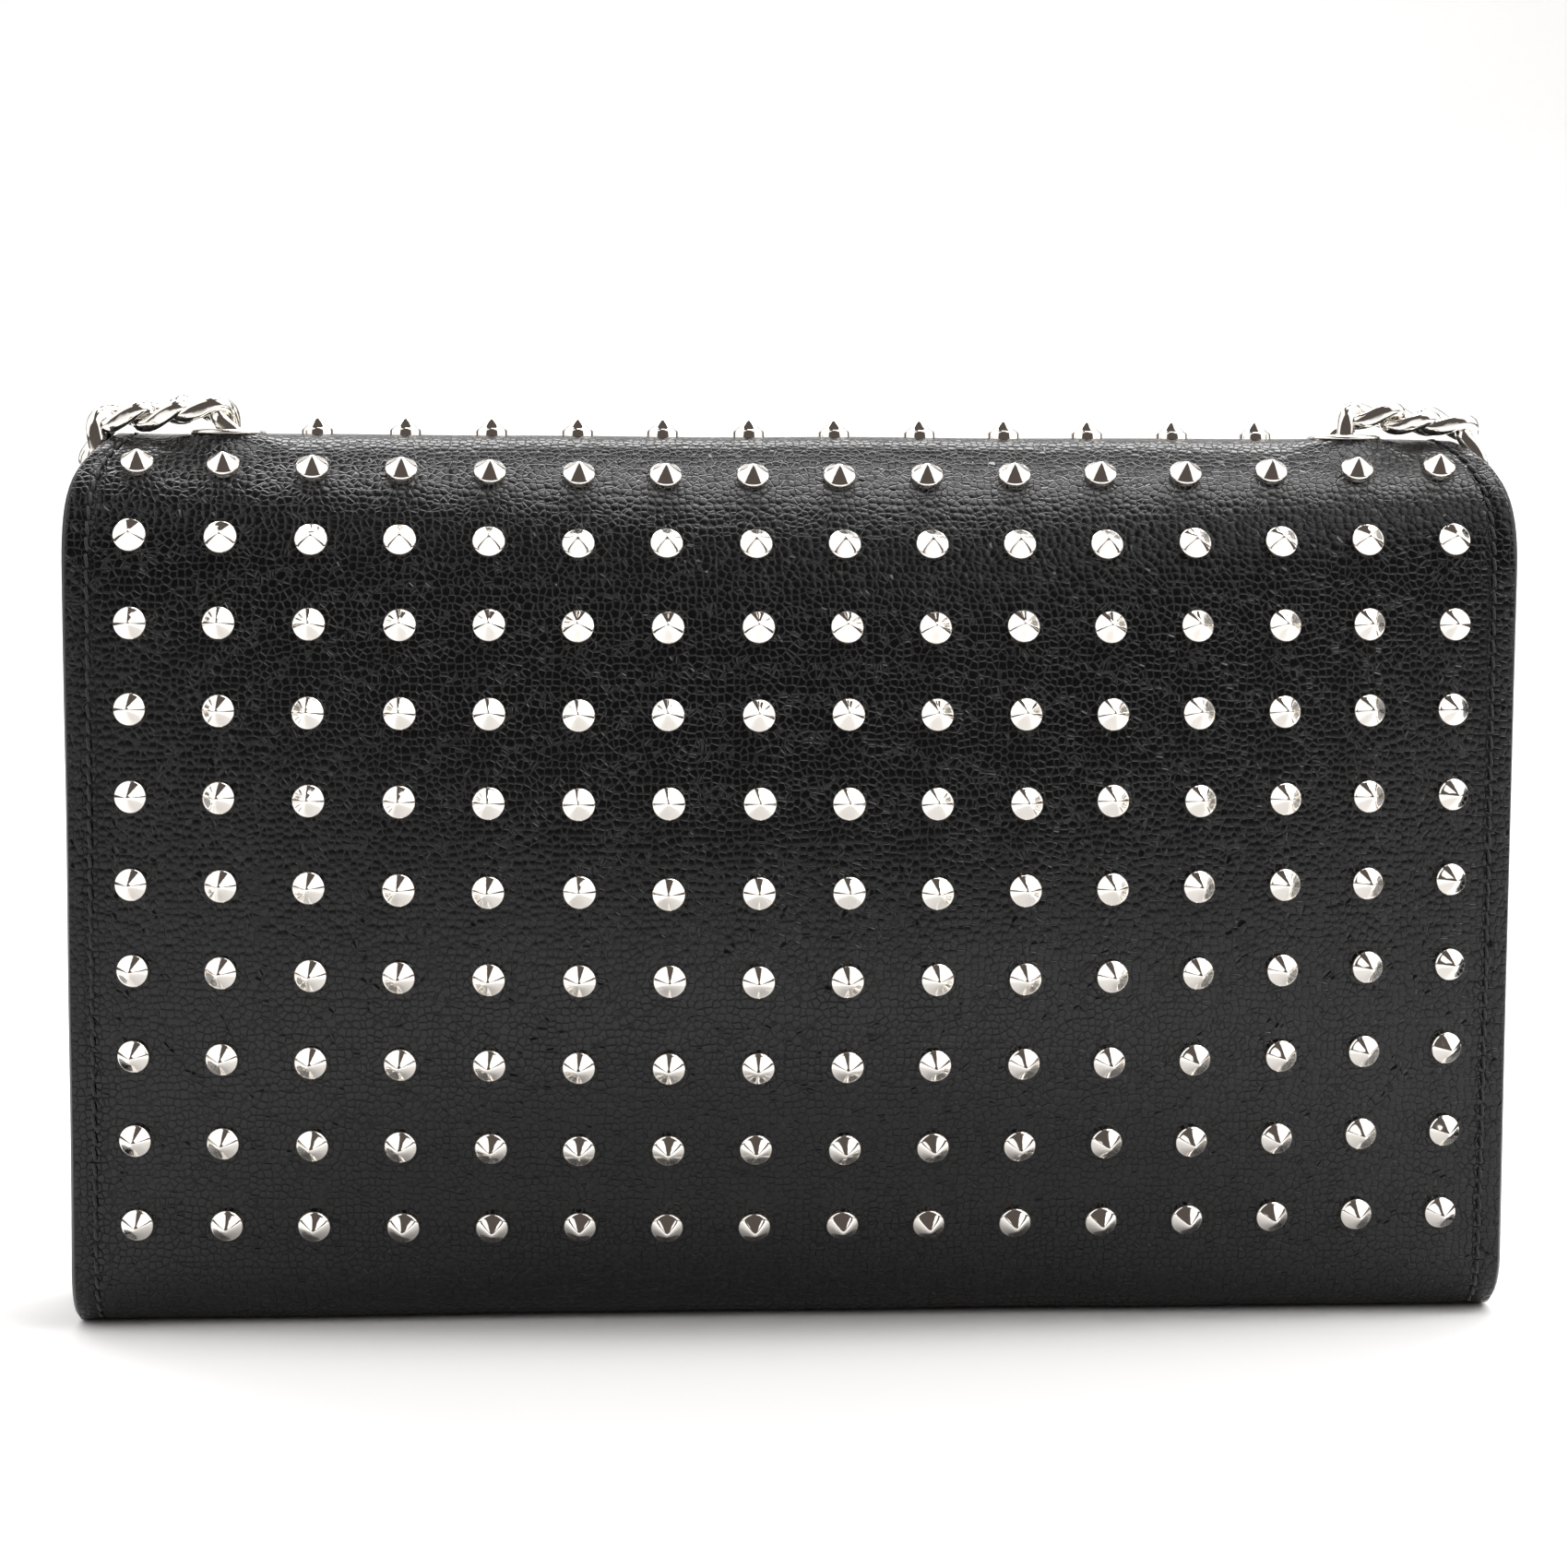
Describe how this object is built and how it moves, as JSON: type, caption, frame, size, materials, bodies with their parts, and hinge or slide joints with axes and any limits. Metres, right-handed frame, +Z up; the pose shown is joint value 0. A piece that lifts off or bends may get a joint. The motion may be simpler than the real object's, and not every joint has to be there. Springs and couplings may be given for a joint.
{
  "type": "chain wallet",
  "caption": "Small studded leather flap bag on a metal chain strap that runs through two eyelets in its top, with a zip pocket and card slots inside.",
  "frame": {"origin": "on the surface that the wallet stands on, under the middle of its width and depth", "axes": "+X along the width, +Z up, -Y out of the back and +Y out of the flap's front"},
  "size_m": [0.2452, 0.1394, 0.1556],
  "materials": {
    "pebbled_leather": "pebbled, semi-gloss",
    "smooth_leather": "smooth, satin",
    "suede_lining": "suede, matt",
    "polished_metal": "polished",
    "zip_tape": "woven",
    "board": "matt"
  },
  "bodies": {
    "body": {"back_panel": "pebbled_leather", "front_panel": "pebbled_leather", "base_panel": "pebbled_leather", "gusset_left": "pebbled_leather", "gusset_right": "pebbled_leather", "pocket_wall": "smooth_leather", "pocket_hem": "smooth_leather", "card_slot_upper": "smooth_leather", "card_slot_middle": "smooth_leather", "card_slot_lower": "smooth_leather", "anchor_tab_left": "smooth_leather", "anchor_tab_right": "smooth_leather", "lining_back": "suede_lining", "lining_front": "suede_lining", "lining_top": "suede_lining", "lining_base": "suede_lining", "eyelet_left": "polished_metal", "eyelet_right": "polished_metal", "eyelet_washer_left": "polished_metal", "eyelet_washer_right": "polished_metal", "anchor_ring_left": "polished_metal", "anchor_ring_right": "polished_metal", "anchor_rivet_left": "polished_metal", "anchor_rivet_right": "polished_metal", "chain_tail_left": "polished_metal", "chain_tail_right": "polished_metal", "chain_strap": "polished_metal", "zip_teeth": "polished_metal", "snap_socket": "polished_metal", "snap_backplate": "polished_metal", "stud_row_top": "polished_metal", "stud_row_back_01": "polished_metal", "stud_row_back_02": "polished_metal", "stud_row_back_03": "polished_metal", "stud_row_back_04": "polished_metal", "stud_row_back_05": "polished_metal", "stud_row_back_06": "polished_metal", "stud_row_back_07": "polished_metal", "stud_row_back_08": "polished_metal", "stud_row_back_09": "polished_metal", "stud_row_back_10": "polished_metal", "zip_tape": "zip_tape", "base_board": "board"},
    "flap": {"flap_panel": "pebbled_leather", "flap_lining": "suede_lining", "snap_cap": "polished_metal", "stud_row_flap_01": "polished_metal", "stud_row_flap_02": "polished_metal", "stud_row_flap_03": "polished_metal", "stud_row_flap_04": "polished_metal", "stud_row_flap_05": "polished_metal", "stud_row_flap_06": "polished_metal", "stud_row_flap_07": "polished_metal", "stud_row_flap_08": "polished_metal"},
    "zip_slider": {"zip_slider": "polished_metal"},
    "zip_pull": {"zip_pull": "polished_metal"}
  },
  "joints": [
    {"name": "flap_fold", "type": "hinge", "parent": "body", "child": "flap", "pos_m": [0, 0.00935, 0.1479], "axis": [1, 0, 0], "range_deg": [0, 120]},
    {"name": "zip_slide", "type": "slide", "parent": "body", "child": "zip_slider", "axis": [-1, 0, 0], "range_m": [0, 0.136]},
    {"name": "zip_pull_swing", "type": "hinge", "parent": "zip_slider", "child": "zip_pull", "pos_m": [0.073, -0.01005, 0.1085], "axis": [0, 0, -1], "range_deg": [0, 150]}
  ]
}
